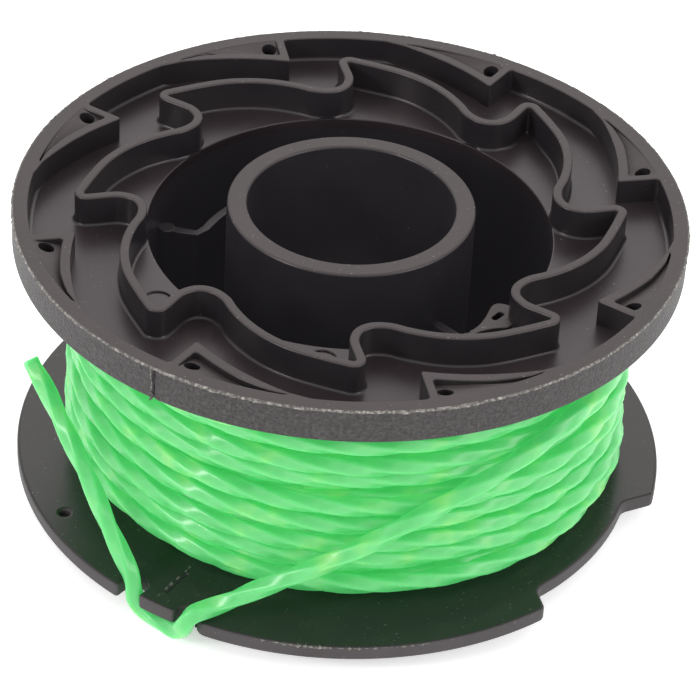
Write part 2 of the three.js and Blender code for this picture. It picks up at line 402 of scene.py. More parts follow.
def add_piece(name, vertices, faces, material):
    """A mesh object with its faces turned outwards, smooth except at sharp edges."""
    mesh = bpy.data.meshes.new(name)
    mesh.from_pydata([tuple(v) for v in vertices], [], faces)
    shape = bmesh.new()
    shape.from_mesh(mesh)
    bmesh.ops.remove_doubles(shape, verts=shape.verts, dist=1e-7)
    bmesh.ops.recalc_face_normals(shape, faces=shape.faces)
    shape.to_mesh(mesh)
    shape.free()
    mesh.materials.append(material)
    mesh.shade_smooth()
    mesh.set_sharp_from_angle(angle=SHARP_ANGLE)
    return add_object(name, mesh)


def even_shading(piece):
    """Keeps flat faces flat in the shading beside their rounded edges."""
    for face in piece.data.polygons:
        face.use_smooth = abs(face.normal.z) < FLAT
    modifier = piece.modifiers.new("even_shading", "WEIGHTED_NORMAL")
    modifier.keep_sharp = True
    modifier.weight = 100


def finish_tops(piece, above, material):
    """Gives the faces that look up, over a height, a finish of their own."""
    piece.data.materials.append(material)
    for face in piece.data.polygons:
        if face.normal.z > UPWARD and face.center.z > above:
            face.material_index = len(piece.data.materials) - 1


def quarter_turn(size, steps):
    """A quarter circle from (0, size) to (size, 0), round (size, size); without a size it is one point."""
    angles = np.linspace(0, math.pi / 2, steps + 1) if size else [0]
    return [(size * (1 - math.cos(angle)), size * (1 - math.sin(angle))) for angle in angles]


def edge_levels(bottom, top, bottom_edge, top_edge, steps=4):
    """(inset, height) of each ring of a slab's wall, with its two edges rounded."""
    levels = [(inset, bottom + up) for up, inset in quarter_turn(bottom_edge, steps)]
    return levels + [(inset, top - down) for inset, down in quarter_turn(top_edge, steps)]


def band(low, high, count):
    """Faces between two closed rings of count vertices, which start at low and at high."""
    return [(low + i, low + (i + 1) % count, high + (i + 1) % count, high + i) for i in range(count)]


def slab_faces(outline, holes, levels):
    """Vertices and faces of a flat plate with rounded edges."""
    loops = [facing(outline, False)] + [facing(hole, True) for hole in holes]
    vertices, faces = [], []
    for loop in loops:
        start, count = len(vertices), len(loop)
        for inset, height in levels:
            vertices += [(x, y, height) for x, y in shifted(loop, inset)]
        for level in range(len(levels) - 1):
            faces += band(start + level * count, start + (level + 1) * count, count)
    for level in (0, len(levels) - 1):
        inset, height = levels[level]
        polygons = [[Vector((x, y, 0)) for x, y in shifted(loop, inset)] for loop in loops]
        places, start = [], 0
        for loop in loops:
            places += range(start + level * len(loop), start + (level + 1) * len(loop))
            start += len(levels) * len(loop)
        faces += [tuple(places[i] for i in triangle) for triangle in tessellate_polygon(polygons)]
    return vertices, faces


def slab(name, outline, bottom, top, material, holes=(), top_edge=0.0, bottom_edge=0.0):
    vertices, faces = slab_faces(outline, holes, edge_levels(bottom, top, bottom_edge, top_edge))
    piece = add_piece(name, vertices, faces, material)
    even_shading(piece)
    return piece


def ring_faces(rings, count):
    """Faces of a closed section of count points swept round a closed ring."""
    return [face for ring in range(rings) for face in band(ring * count, (ring + 1) % rings * count, count)]


def rod_faces(rings, count):
    """Faces of a closed section of count points swept along an open path, with closed ends."""
    last = (rings - 1) * count
    sides = [face for start in range(0, last, count) for face in band(start, start + count, count)]
    return sides + [tuple(range(count)), tuple(range(last, last + count))]


def lathe(name, profile, material, segments=240):
    """A closed profile (radius, height) turned round the axis."""
    angles = np.arange(segments) * 2 * math.pi / segments
    vertices = [(r * math.cos(a), r * math.sin(a), z) for a in angles for r, z in profile]
    piece = add_piece(name, vertices, ring_faces(segments, len(profile)), material)
    even_shading(piece)
    return piece


# ---- materials

WARM_TINT = (1.0, 0.89, 0.90, 1)
SPECK_COLOUR = (0.16, 0.15, 0.15)
SPECK_EDGE = 0.03

# Noise scales, in grains a metre
CLOUD_SCALE = 160
GRAIN_SCALE = 4200
SPECK_SCALE = 3300
SPARK_CLOUD_SCALE = 300
SPARK_GRAIN_SCALE = 2900
TORN_SCALE = 3200
NYLON_CLOUD_SCALE = 240
NYLON_GRAIN_SCALE = 1500


def new_material(name):
    material = bpy.data.materials.new(name)
    material.use_nodes = True
    tree = material.node_tree
    return material, tree, tree.nodes["Principled BSDF"]


def set_sockets(node, values):
    for socket, value in values.items():
        node.inputs[socket].default_value = value


def glow(shader, colour, strength):
    set_sockets(shader, {"Emission Color": (*colour, 1), "Emission Strength": strength})


def noise(tree, scale, detail=3.0, roughness=0.55):
    """Noise over the object's own coordinates; scale is in grains a metre."""
    place = tree.nodes.new("ShaderNodeTexCoord")
    texture = tree.nodes.new("ShaderNodeTexNoise")
    set_sockets(texture, {"Scale": scale, "Detail": detail, "Roughness": roughness})
    tree.links.new(place.outputs["Object"], texture.inputs["Vector"])
    return texture.outputs["Fac"]


def ramp(tree, value, stops):
    """A colour ramp over a value: (position, colour) stops."""
    made = tree.nodes.new("ShaderNodeValToRGB")
    elements = made.color_ramp.elements
    while len(elements) < len(stops):
        elements.new(0.5)
    for element, (position, colour) in zip(elements, stops):
        element.position = position
        element.color = (*colour, 1)
    tree.links.new(value, made.inputs["Fac"])
    return made.outputs["Color"]


def stretched(tree, value, source=(0, 1), target=(0, 1)):
    """A value's source range mapped onto a target range."""
    made = tree.nodes.new("ShaderNodeMapRange")
    sockets = ("From Min", "From Max", "To Min", "To Max")
    set_sockets(made, dict(zip(sockets, (*source, *target))))
    tree.links.new(value, made.inputs["Value"])
    return made.outputs["Result"]


def bump(tree, shader, layers):
    """Stacked bumps: (height value, depth in metres) from the broadest to the finest."""
    normal = None
    for height, depth in layers:
        made = tree.nodes.new("ShaderNodeBump")
        set_sockets(made, {"Distance": depth})
        tree.links.new(height, made.inputs["Height"])
        if normal:
            tree.links.new(normal, made.inputs["Normal"])
        normal = made.outputs["Normal"]
    tree.links.new(normal, shader.inputs["Normal"])


def mixed(tree, factor, first, second):
    """A colour that goes from the first to the second as the factor goes from 0 to 1."""
    made = tree.nodes.new("ShaderNodeMix")
    made.data_type = "RGBA"
    tree.links.new(factor, made.inputs["Factor"])
    for socket, colour in (("A", first), ("B", second)):
        target = next(slot for slot in made.inputs if slot.name == socket and slot.type == "RGBA")
        if isinstance(colour, tuple):
            target.default_value = (*colour, 1)
        else:
            tree.links.new(colour, target)
    return next(slot for slot in made.outputs if slot.type == "RGBA")


def moulded_plastic(name, dark, light, gloss=(0.26, 0.38), grain_depth=0.006 * MM, speck_level=0.79,
                    reflection=0.5, waviness=0.03 * MM):
    """Charcoal plastic with mould texture: its colour and gloss vary, and it carries a few pale specks."""
    material, tree, shader = new_material(name)
    broad = noise(tree, CLOUD_SCALE)
    grain = noise(tree, GRAIN_SCALE, detail=4)
    speck_noise = noise(tree, SPECK_SCALE, detail=1)
    specks = stretched(tree, speck_noise, source=(speck_level, speck_level + SPECK_EDGE))
    base = ramp(tree, broad, [(0.3, dark), (0.7, light)])
    tree.links.new(mixed(tree, specks, base, SPECK_COLOUR), shader.inputs["Base Color"])
    tree.links.new(stretched(tree, broad, target=gloss), shader.inputs["Roughness"])
    set_sockets(shader, {"Specular Tint": WARM_TINT, "Specular IOR Level": reflection})
    bump(tree, shader, [(broad, waviness), (grain, grain_depth)])
    return material


def satin_plastic():
    """Most of the moulding."""
    return moulded_plastic("charcoal_satin", dark=(0.016, 0.0145, 0.0165), light=(0.023, 0.0205, 0.0225))


def tray_plastic():
    """The tray's floor."""
    return moulded_plastic("charcoal_tray", dark=(0.022, 0.0165, 0.0185), light=(0.030, 0.0225, 0.0245),
                           speck_level=0.77, reflection=0.42)


def scuffed_plastic():
    """The edges that the mould left matt, or that handling has rubbed."""
    return moulded_plastic("charcoal_scuffed", dark=(0.032, 0.0262, 0.0262), light=(0.045, 0.037, 0.037),
                           gloss=(0.5, 0.62), grain_depth=0.016 * MM, speck_level=0.73)


def matt_plastic():
    """The lower flange's edge and underside."""
    return moulded_plastic("charcoal_matt", dark=(0.032, 0.0288, 0.0315), light=(0.045, 0.0405, 0.044),
                           gloss=(0.5, 0.62), grain_depth=0.014 * MM, speck_level=0.75)


def well_plastic():
    """The deep well, where a faint glow stands in for the light that bounces down it."""
    material = moulded_plastic("charcoal_well", dark=(0.010, 0.009, 0.0105), light=(0.014, 0.013, 0.0145),
                               gloss=(0.3, 0.4))
    glow(material.node_tree.nodes["Principled BSDF"], (0.95, 0.87, 1.0), 0.0062)
    return material


def rubbed_plastic():
    """The dull specks that stand up along the parting line."""
    return moulded_plastic("charcoal_rubbed", dark=(0.09, 0.09, 0.08), light=(0.14, 0.135, 0.12),
                           gloss=(0.5, 0.6), grain_depth=0.01 * MM)


def glossy_plastic():
    """The lower flange's smooth top, which mirrors the line."""
    return moulded_plastic("charcoal_glossy", dark=(0.021, 0.0205, 0.0205), light=(0.023, 0.0225, 0.0225),
                           gloss=(0.25, 0.29), grain_depth=0.003 * MM, speck_level=0.75,
                           reflection=0.36, waviness=0.01 * MM)


def spark_grain_plastic():
    """The rim's side, with the pitted grain of a spark-eroded mould."""
    material, tree, shader = new_material("charcoal_spark_grain")
    pits = noise(tree, SPARK_GRAIN_SCALE, detail=4, roughness=0.6)
    # The colour follows the bump's pits over the real pitted grain: painted shade darkens the hollows and a
    # painted highlight lightens the ridges
    colours = [(0.36, (0.014, 0.013, 0.0135)), (0.52, (0.036, 0.034, 0.035)), (0.70, (0.070, 0.066, 0.067))]
    tree.links.new(ramp(tree, pits, colours), shader.inputs["Base Color"])
    tree.links.new(stretched(tree, pits, target=(0.35, 0.6)), shader.inputs["Roughness"])
    set_sockets(shader, {"Specular Tint": WARM_TINT})
    bump(tree, shader, [(noise(tree, SPARK_CLOUD_SCALE), 0.03 * MM), (pits, 0.5 * MM)])
    return material


def torn_plastic():
    """The pale ragged flash along the mould's edges, where the plastic has been stretched white."""
    material, tree, shader = new_material("charcoal_torn")
    rubbed = noise(tree, TORN_SCALE)
    colours = [(0.4, (0.065, 0.060, 0.056)), (0.54, (0.165, 0.153, 0.142)), (0.7, (0.36, 0.335, 0.31))]
    tree.links.new(ramp(tree, rubbed, colours), shader.inputs["Base Color"])
    set_sockets(shader, {"Roughness": 0.65})
    bump(tree, shader, [(rubbed, 0.05 * MM)])
    return material


def green_nylon():
    """Clear green nylon that lets light through, a little cloudy and yellower in places."""
    material, tree, shader = new_material("green_nylon")
    broad = noise(tree, NYLON_CLOUD_SCALE, detail=2)
    fine = noise(tree, NYLON_GRAIN_SCALE, detail=2)
    colours = [(0.28, (0.058, 0.25, 0.085)), (0.55, (0.085, 0.30, 0.112)), (0.75, (0.19, 0.36, 0.11))]
    tree.links.new(ramp(tree, broad, colours), shader.inputs["Base Color"])
    tree.links.new(stretched(tree, fine, target=(0.26, 0.42)), shader.inputs["Roughness"])
    set_sockets(shader, {
        "Subsurface Weight": 1.0,
        "Subsurface Radius": (0.45, 1.0, 0.55),
        "Subsurface Scale": 3.2 * MM,
        "IOR": 1.53,
        "Coat Weight": 0.1,
        "Coat Roughness": 0.08,
    })
    # A painted glow stands in for the light that comes through clear nylon, and keeps the gaps between the
    # turns bright
    glow(shader, (0.10, 1.0, 0.22), 0.29)
    bump(tree, shader, [(fine, 0.03 * MM)])
    return material


SATIN = satin_plastic()
TRAY = tray_plastic()
SCUFFED = scuffed_plastic()
MATT = matt_plastic()
WELL = well_plastic()
RUBBED = rubbed_plastic()
GLOSSY = glossy_plastic()
SPARK_GRAIN = spark_grain_plastic()
TORN = torn_plastic()
NYLON = green_nylon()


# ---- camera

def add_camera():
    back = Vector((0, -math.cos(CAMERA_ELEVATION), math.sin(CAMERA_ELEVATION)))
    level_right = Vector((1, 0, 0))
    level_up = back.cross(level_right)
    right = math.cos(CAMERA_ROLL) * level_right + math.sin(CAMERA_ROLL) * level_up
    up = math.cos(CAMERA_ROLL) * level_up - math.sin(CAMERA_ROLL) * level_right
    data = bpy.data.cameras.new("camera")
    data.lens = CAMERA_LENS
    data.clip_start = 10 * MM
    camera = add_object("camera", data)
    place = CAMERA_TARGET + back * CAMERA_DISTANCE + right * CAMERA_RIGHT + up * CAMERA_LIFT
    turn = Matrix((right, up, back)).transposed().to_4x4()
    camera.matrix_world = Matrix.Translation(place) @ turn
    bpy.context.scene.camera = camera


# ---- line

def wander(count, size, wavelength, random):
    """A smooth random drift along the line, in metres; wavelength is in turns."""
    turns = np.arange(count) / LINE_STEPS
    drift = np.zeros(count)
    for harmonic in WANDER_HARMONICS:
        phase = random.uniform(0, 2 * math.pi)
        drift += harmonic**0.7 * np.sin(2 * math.pi * turns / (wavelength * harmonic) + phase)
    return size * drift / 2


def winding_heights():
    """How high each point of the wound line lies as the passes go up and down the drum."""
    turns, heights = [0.0], [LINE_START_HEIGHT]
    for height, pitch in LINE_PASSES:
        turns.append(turns[-1] + abs(height - heights[-1]) / pitch)
        heights.append(height)
    # The winding ends at the direction where the loose line leaves it
    leaving = math.degrees(math.atan2(LINE_ROUTE[0][1], LINE_ROUTE[0][0]))
    part = (LINE_START_ANGLE - leaving) / 360 % 1
    whole = round(turns[-1] - part) + part
    turns = np.array(turns) * whole / turns[-1]
    count = round(whole * LINE_STEPS) + 1
    at = np.arange(count) / LINE_STEPS
    random = np.random.default_rng(LINE_SEED)
    path = np.interp(at, turns, heights)
    path += sum(wander(count, size, wavelength, random) for size, wavelength in LINE_WANDERS)
    return np.clip(path, FLANGE_TOP + LINE_CLEARANCE, TRAY_UNDERSIDE - LINE_CLEARANCE)


def settle(heights):
    """The radius of each point of the wound line, which lies on the drum or on the turns under it."""
    count = len(heights)
    radii = np.zeros(count)
    half_turn = LINE_STEPS // 2
    # A turn bends softly over the ones under it
    soften = np.exp(-0.5 * (np.arange(-LINE_REACH // 2, LINE_REACH // 2 + 1) / (LINE_REACH / 6)) ** 2)
    soften /= soften.sum()
    for start in range(0, count, half_turn):
        stop = min(start + half_turn, count)
        window = np.clip(np.arange(start - LINE_REACH, stop + LINE_REACH), 0, count - 1)
        support = np.full(len(window), DRUM_RADIUS + LINE_WIDTH / 2)
        for place, step in enumerate(window):
            earlier = np.arange(step - LINE_STEPS, -1, -LINE_STEPS)
            under = earlier[np.abs(heights[earlier] - heights[step]) < LINE_LAY]
            if len(under):
                rise = np.sqrt(LINE_LAY**2 - (heights[under] - heights[step]) ** 2)
                support[place] = max(support[place], (radii[under] + rise).max())
        reach = LINE_REACH // 4
        highest = [support[max(0, i - reach): i + reach + 1].max() for i in range(len(support))]
        smooth = np.convolve(highest, soften, mode="same")
        radii[start:stop] = smooth[LINE_REACH: LINE_REACH + stop - start]
    return radii


def wound_line():
    heights = winding_heights()
    radii = settle(heights)
    angles = np.radians(LINE_START_ANGLE - 360 * np.arange(len(heights)) / LINE_STEPS)
    points = np.stack([radii * np.cos(angles), radii * np.sin(angles), heights], axis=1)
    innermost = radii.min()
    points += ((radii - innermost) / (radii.max() - innermost))[:, None] * LINE_SLACK
    # The last part of a turn leans out to meet the loose line
    ease = np.clip((np.arange(len(points)) - len(points) + LINE_MEET) / LINE_MEET, 0, 1)[:, None]
    ease = ease * ease * (3 - 2 * ease)
    return points + ease * (np.array(LINE_ROUTE[0]) - points[-1])


def centripetal(places, between):
    """A point between the middle two of four places on a centripetal Catmull-Rom curve."""
    gaps = np.sqrt(np.linalg.norm(np.diff(places, axis=0), axis=1))
    knots = np.concatenate([[0], np.cumsum(gaps)])
    at = knots[1] + (knots[2] - knots[1]) * between

    def blend(first, second, low, high):
        return ((knots[high] - at) * first + (at - knots[low]) * second) / (knots[high] - knots[low])

    pairs = [blend(places[i], places[i + 1], i, i + 1) for i in range(3)]
    triples = [blend(pairs[i], pairs[i + 1], i, i + 2) for i in range(2)]
    return blend(triples[0], triples[1], 1, 2)


def loose_line(wound, step=0.5 * MM):
    """The route past the winding, as a smooth curve of close points."""
    controls = np.array([wound[-LINE_LEAD], *LINE_ROUTE, 2 * np.array(LINE_ROUTE[-1]) - LINE_ROUTE[-2]])
    points = []
    for number in range(len(controls) - 3):
        places = controls[number:number + 4]
        count = max(2, round(np.linalg.norm(places[2] - places[1]) / step))
        points += [centripetal(places, between) for between in np.arange(count) / count]
    return np.array(points + [controls[-2]])


def line_section():
    """The line's square section with rounded corners."""
    half = LINE_WIDTH / 2
    return rounded([((x * half, y * half), LINE_CORNER) for x, y in SQUARE], steps=3)


def twisted_tube(name, path, section, material):
    """The section swept along the path, turning once every twist pitch, with closed ends."""
    tangents = unit(np.gradient(path, axis=0))
    lengths = np.concatenate([[0], np.cumsum(np.linalg.norm(np.diff(path, axis=0), axis=1))])
    side = np.cross(tangents[0], (0, 0, 1))
    vertices = []
    for place, tangent, length in zip(path, tangents, lengths):
        side = side - tangent * side.dot(tangent)
        side /= np.linalg.norm(side)
        other = np.cross(tangent, side)
        twist = 2 * math.pi * length / LINE_TWIST_PITCH
        across = math.cos(twist) * side + math.sin(twist) * other
        along = math.cos(twist) * other - math.sin(twist) * side
        vertices += [tuple(place + x * across + y * along) for x, y in section]
    return add_piece(name, vertices, rod_faces(len(path), len(section)), material)


def add_line():
    wound = wound_line()
    # The two inner passes are out of sight, so every second point is enough there
    inner = LINE_HIDDEN_TURNS * LINE_STEPS
    path = np.concatenate([wound[:inner:2], wound[inner:-1], loose_line(wound)])
    line = twisted_tube("trimmer_line", path, line_section(), NYLON)
    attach(line, "root")
    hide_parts("line_winding", "line_tail")


# ---- spool

def part_of_spool(piece, *nodes):
    """A piece of the moulding, and the CAD nodes that it stands for, if any."""
    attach(piece, "root")
    if nodes:
        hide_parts(*nodes)


def flange_outline():
    """The lower flange's edge, with its two slots, the tab between them and the cut-out."""
    edge = LOWER_FLANGE_RADIUS
    tab = edge - TAB_SETBACK
    first, last = SLOTS[0][0], SLOTS[-1][0]
    corners = []
    for number, (angle, width, end, mouth) in enumerate(SLOTS):
        half = width / 2
        away, along = polar(1, angle), polar(1, angle + 90)
        before, after = (edge, tab) if number == 0 else (tab, edge)
        places = [(math.sqrt(before**2 - half**2), -half, SLOT_CORNER), (end, -half, half * ROUND_END),
                  (end, half, half * ROUND_END), (math.sqrt(after**2 - half**2), half, mouth)]
        corners += [(tuple(away * out + along * aside), rounding) for out, aside, rounding in places]
        if number == 0:
            corners += plain(arc(tab, first + MOUTH_ROOM, last - MOUTH_ROOM))
    corners += plain(arc(edge, last + ROUND_MOUTH_ROOM, CUTOUT_OUTER_ANGLES[0] - CUTOUT_OUTER_ROOM))
    corners.append(corner_at(edge, CUTOUT_OUTER_ANGLES[0], CUTOUT_OUTER_CORNER))
    corners.append(corner_at(CUTOUT_RADIUS, CUTOUT_INNER_ANGLES[0], CUTOUT_INNER_CORNER))
    corners += plain(arc(CUTOUT_RADIUS, CUTOUT_INNER_ANGLES[0] + CUTOUT_INNER_ROOM,
                         CUTOUT_INNER_ANGLES[1] - CUTOUT_INNER_ROOM))
    corners.append(corner_at(CUTOUT_RADIUS, CUTOUT_INNER_ANGLES[1], CUTOUT_INNER_CORNER))
    corners.append(corner_at(edge, CUTOUT_OUTER_ANGLES[1], CUTOUT_OUTER_CORNER))
    corners += plain(arc(edge, CUTOUT_OUTER_ANGLES[1] + CUTOUT_OUTER_ROOM, 360 + first - MOUTH_ROOM))
    return rounded(corners)


def circle(radius, segments=240):
    return np.array([polar(radius, 360 * i / segments) for i in range(segments)])


def add_lower_flange():
    # The hub's wall hides the hole that it stands in
    hub_hole = circle((BORE_RADIUS + HUB_RADIUS) / 2)
    dimple = circle(DIMPLE_RADIUS, 24) + polar(*DIMPLE_PLACE)
    radius, angle = NICK_PLACE
    nick = strip_outline([polar(radius + end * NICK_LENGTH / 2, angle) for end in (-1, 1)], NICK_WIDTH)
    flange = slab("lower_flange_plate", flange_outline(), FLANGE_BOTTOM, FLANGE_TOP, MATT,
                  holes=[hub_hole, dimple, nick], top_edge=FLANGE_EDGE, bottom_edge=FLANGE_EDGE)
    finish_tops(flange, FLANGE_TOP - 0.1 * MM, GLOSSY)
    part_of_spool(flange, "lower_flange")
    # Each recess has a floor that also closes it from below
    for name, outline, depth in (("dimple", dimple, DIMPLE_DEPTH), ("nick", nick, NICK_DEPTH)):
        wider = shifted(facing(outline, False), -RECESS_FLOOR_REACH)
        part_of_spool(slab(f"flange_{name}_floor", wider, FLANGE_BOTTOM - HAIR, FLANGE_TOP - depth, SATIN,
                           top_edge=5 * HAIR))


def ragged_ridge(name, foot, rising, heights, material):
    """A thin ridge along a line of foot points; where its height is below zero it is out of sight."""
    aside = np.cross(unit(np.gradient(foot, axis=0)), rising)
    vertices = []
    for place, side, up, height in zip(foot, aside, np.broadcast_to(rising, foot.shape), heights):
        half = RIDGE_ROOT + max(height, 0) / 2
        sunk = place - RIDGE_ROOT * up
        vertices += [tuple(sunk - half * side), tuple(place + height * up), tuple(sunk + half * side)]
    part_of_spool(add_piece(name, vertices, rod_faces(len(foot), 3), material))


def add_parting_marks():
    """What the mould's parting line leaves: specks across the lower flange and a burr down the rim."""
    random = np.random.default_rng(PARTING_SEED)
    radii = np.linspace(*PARTING_RADII, 140)
    foot = np.array([(*polar(radius, SPECKS_ANGLE), FLANGE_TOP) for radius in radii])
    specks = PARTING_SPECK * bursts(random, len(radii), blur=8, power=3) - PARTING_SPECK_SUNK
    upward = np.array((0, 0, 1))
    ragged_ridge("flange_parting_specks", foot, upward, np.maximum(specks, -3 * HAIR), RUBBED)
    levels = np.linspace(TRAY_UNDERSIDE - 0.1 * MM, RIM_TOP - 0.05 * MM, 60)
    angles = BURR_ANGLE + BURR_SWAY * bursts(random, len(levels), blur=12, power=1)
    foot = np.array([(*polar(RIM_RADIUS, angle), height) for angle, height in zip(angles, levels)])
    burr = BURR_HEIGHT + BURR_RAGGEDNESS * random.random(len(levels))
    burr[:6] += BURR_FOOT_GROWTH
    burr[-8:] += BURR_HEAD_GROWTH
    outward = np.array((*polar(1, BURR_ANGLE), 0))
    ragged_ridge("rim_parting_burr", foot, outward, burr, TORN)


def add_edge_wear():
    """Pale nicks along the front of the lower flange's top edge."""
    random = np.random.default_rng(WEAR_SEED)
    degrees = np.linspace(*WORN_ANGLES, 700)
    outward = np.array([(*polar(1, angle), 0) for angle in degrees])
    slanting = (outward + (0, 0, 1)) / math.sqrt(2)
    foot = outward * (LOWER_FLANGE_RADIUS - 0.06 * MM) + (0, 0, FLANGE_TOP - 0.16 * MM)
    fading = np.sin(np.linspace(0, math.pi, len(degrees)))
    chips = bursts(random, len(degrees), blur=9, power=2) * bursts(random, len(degrees), blur=60, power=1)
    ragged_ridge("flange_edge_wear", foot, slanting, WEAR_SIZE * chips * fading - WEAR_SUNK, TORN)


def add_hub():
    """The collar that the spool stands on and the hub tube, with its plain bore."""
    profile = rounded([
        ((BORE_RADIUS, 0), HUB_EDGE),
        ((COLLAR_RADIUS, 0), COLLAR_EDGE),
        ((COLLAR_RADIUS, FLANGE_BOTTOM + SEAT), 0),
        ((HUB_RADIUS, FLANGE_BOTTOM + SEAT), 0),
        ((HUB_RADIUS, HUB_TOP), HUB_EDGE),
        ((BORE_RADIUS, HUB_TOP), HUB_EDGE),
    ])
    hub = lathe("hub", profile, WELL)
    finish_tops(hub, FLANGE_TOP, SCUFFED)
    part_of_spool(hub, "hub_collar", "hub_tube")


def add_drum():
    """The drum that the line is wound on, and the floor of the well inside it."""
    bottom, top = FLANGE_TOP - SEAT, TRAY_UNDERSIDE + 5 * HAIR
    profile = [(WELL_RADIUS, bottom), (DRUM_RADIUS, bottom), (DRUM_RADIUS, top), (WELL_RADIUS, top)]
    part_of_spool(lathe("drum_wall", profile, WELL), "drum")
    overlap = 0.2 * MM
    part_of_spool(slab("well_floor", circle(WELL_RADIUS + overlap), FLANGE_TOP - overlap,
                       FLANGE_TOP + 3 * HAIR, WELL, holes=[circle(HUB_RADIUS - overlap)]))


def add_tray_floor():
    """The tray's floor, which also closes the rim and the pockets from below."""
    marks = [circle(EJECTOR_RADIUS, 48) + polar(*place) for place in EJECTOR_MARKS]
    floor = slab("tray_floor", circle(RIM_RADIUS - TRAY_INSET), TRAY_UNDERSIDE - 2 * HAIR, TRAY_FLOOR, TRAY,
                 holes=[circle(WELL_RADIUS), *marks], top_edge=TRAY_EDGE)
    part_of_spool(floor, "upper_flange")
    for number, mark in enumerate(marks):
        wider = shifted(facing(mark, False), -EJECTOR_FLOOR_REACH)
        part_of_spool(slab(f"ejector_mark_{number + 1}", wider, TRAY_UNDERSIDE - 3 * HAIR,
                           TRAY_FLOOR - EJECTOR_DEPTH, TRAY))


def add_tray_fillet():
    """The fillet where the rim's inner wall meets the tray floor."""
    overlap = 0.1 * MM
    outer, inner, bottom = RIM_INNER_RADIUS + overlap, RIM_INNER_RADIUS - RIM_FILLET, TRAY_FLOOR - overlap
    curve = [(RIM_INNER_RADIUS - inset, TRAY_FLOOR + up) for inset, up in quarter_turn(RIM_FILLET, 5)]
    profile = [(outer, bottom), (outer, TRAY_FLOOR + RIM_FILLET), *curve, (inner, bottom)]
    part_of_spool(lathe("tray_fillet", profile, SATIN))


def add_tongue():
    """The tongue over the well, a little above the tray floor, with a slanting eyelet."""
    outline = rounded([corner_at(r * MM, degrees, rounding * MM) for (r, degrees), rounding in TONGUE])
    turn = Matrix.Rotation(math.radians(EYELET_TURN), 2)
    eyelet = np.array([tuple(turn @ Vector(point)) for point in rounded_bar(EYELET_LENGTH, EYELET_WIDTH)])
    tongue = slab("line_tongue", outline, TRAY_UNDERSIDE + 0.1 * MM, TRAY_FLOOR + TONGUE_RISE, SATIN,
                  holes=[eyelet + polar(*EYELET_PLACE)], top_edge=TONGUE_EDGE, bottom_edge=TONGUE_EDGE)
    finish_tops(tongue, TRAY_FLOOR, SCUFFED)
    part_of_spool(tongue)


def tip_angle(tooth):
    return TOOTH_ANGLE + tooth * LOBE_PITCH


def ramp_radius(degrees):
    """Radius of a tooth's inner face at an angle past its tip."""
    return TOOTH_TIP_RADIUS + (RIM_INNER_RADIUS - TOOTH_TIP_RADIUS) * degrees / TOOTH_RAMP


def toothed_outline():
    """The rim's inner edge: a ramp in from the rim and a radial step back for each tooth."""
    corners = []
    for tooth in range(LOBES):
        tip = tip_angle(tooth)
        corners.append(corner_at(RIM_INNER_RADIUS, tip - TOOTH_STEP_LEAN, TOOTH_ROOT_CORNER))
        corners.append(corner_at(TOOTH_TIP_RADIUS, tip, TOOTH_TIP_CORNER))
        corners += plain(polar(ramp_radius(d), tip + d) for d in (4, 8, 12, 16, 19, 21))
        corners += plain(arc(RIM_INNER_RADIUS, tip + TOOTH_RAMP + 1.5, tip + LOBE_PITCH - 2.5))
    return rounded(corners)


def pocket_edge(degrees):
    """Radius of a pocket's inner edge; the tooth's wall thins towards the end of its ramp."""
    return ramp_radius(degrees) + TOOTH_WALL - TOOTH_WALL_TAPER * max(0, degrees - POCKET_TAPER_START)


def pocket_outline(tooth, inner=0.0, outer=0.0):
    """The hollow between a tooth's wall and the rim, grown inwards and outwards by margins."""
    tip = tip_angle(tooth)
    first, last = POCKET_ANGLES
    edge = POCKET_OUTER_RADIUS + outer
    corners = [corner_at(edge, tip + first - TOOTH_STEP_LEAN, 0.25 * MM)]
    corners.append(corner_at(pocket_edge(first) - inner, tip + first, 0.3 * MM))
    corners += plain(polar(pocket_edge(d) - inner, tip + d) for d in range(4, 20, 2))
    corners.append(corner_at(edge - 0.12 * MM, tip + last))
    corners += plain(arc(edge, tip + last - 0.6, tip + first + 1.2))
    return rounded(corners, steps=4)


def rim_outline():
    """The rim's outer edge, with the narrow groove of the mould's parting line."""
    start = PARTING_ANGLE + PARTING_GROOVE_HALF_ANGLE
    groove = arc(RIM_RADIUS, start, start + 360 - 2 * PARTING_GROOVE_HALF_ANGLE, 1)
    return np.array(groove + [polar(RIM_RADIUS - PARTING_GROOVE, PARTING_ANGLE)])


def add_rim():
    """The rim and the ratchet teeth inside it, each with a shallow pocket."""
    pockets = [pocket_outline(tooth) for tooth in range(LOBES)]
    levels = edge_levels(TRAY_UNDERSIDE, RIM_TOP, RIM_BOTTOM_EDGE, RIM_TOP_EDGE)
    vertices, faces = slab_faces(rim_outline(), [toothed_outline()] + pockets, levels)
    rim = add_piece("rim_and_teeth", vertices, faces, SATIN)
    finish_tops(rim, TRAY_FLOOR, SCUFFED)
    rim.data.materials.append(SPARK_GRAIN)
    for face in rim.data.polygons:
        if face.center.xy.length > RIM_RADIUS - 0.2 * MM and face.material_index == 0:
            face.material_index = 2
    even_shading(rim)
    part_of_spool(rim, "rim", *[f"ratchet_tooth_{tooth + 1}" for tooth in range(LOBES)])


